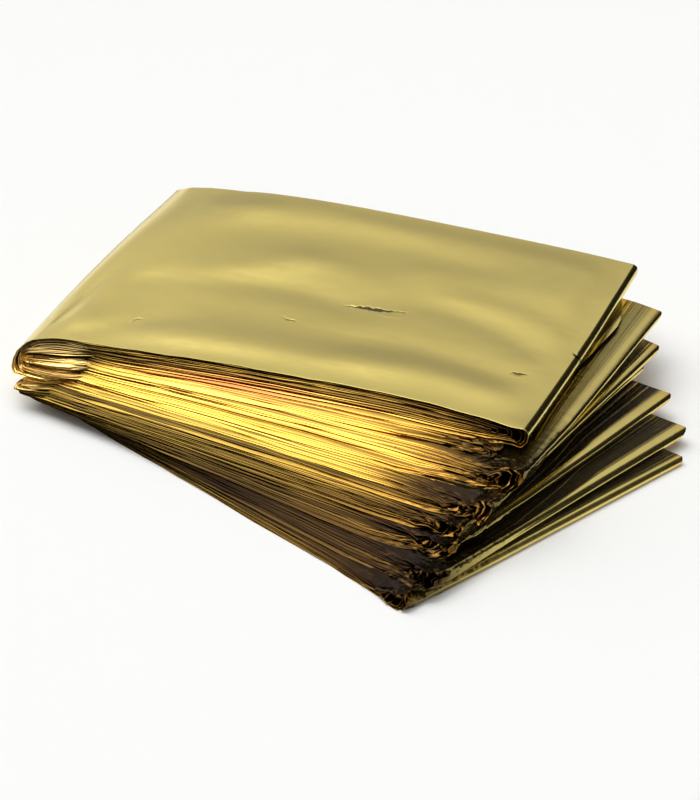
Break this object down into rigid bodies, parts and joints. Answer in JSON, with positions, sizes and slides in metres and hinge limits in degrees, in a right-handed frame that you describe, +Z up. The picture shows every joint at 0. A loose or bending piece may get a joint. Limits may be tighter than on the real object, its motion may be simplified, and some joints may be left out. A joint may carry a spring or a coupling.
{
  "type": "folded emergency foil blanket",
  "caption": "Gold metallised film emergency blanket, pleated and folded back and forth into a flat pack whose layers are fanned out at one end.",
  "frame": {"origin": "centre of the footprint, on the surface the blanket lies on", "axes": "+X along the folded layers from the pinched end to the fanned end, +Y towards the back edge, +Z up"},
  "size_m": [0.18, 0.1487, 0.0216],
  "materials": {
    "gold_film": "gold-tinted vapour-metallised polyester film, mirror bright, softened by fine crinkles"
  },
  "bodies": {
    "root": {"foil_blanket": "gold_film"}
  },
  "joints": []
}
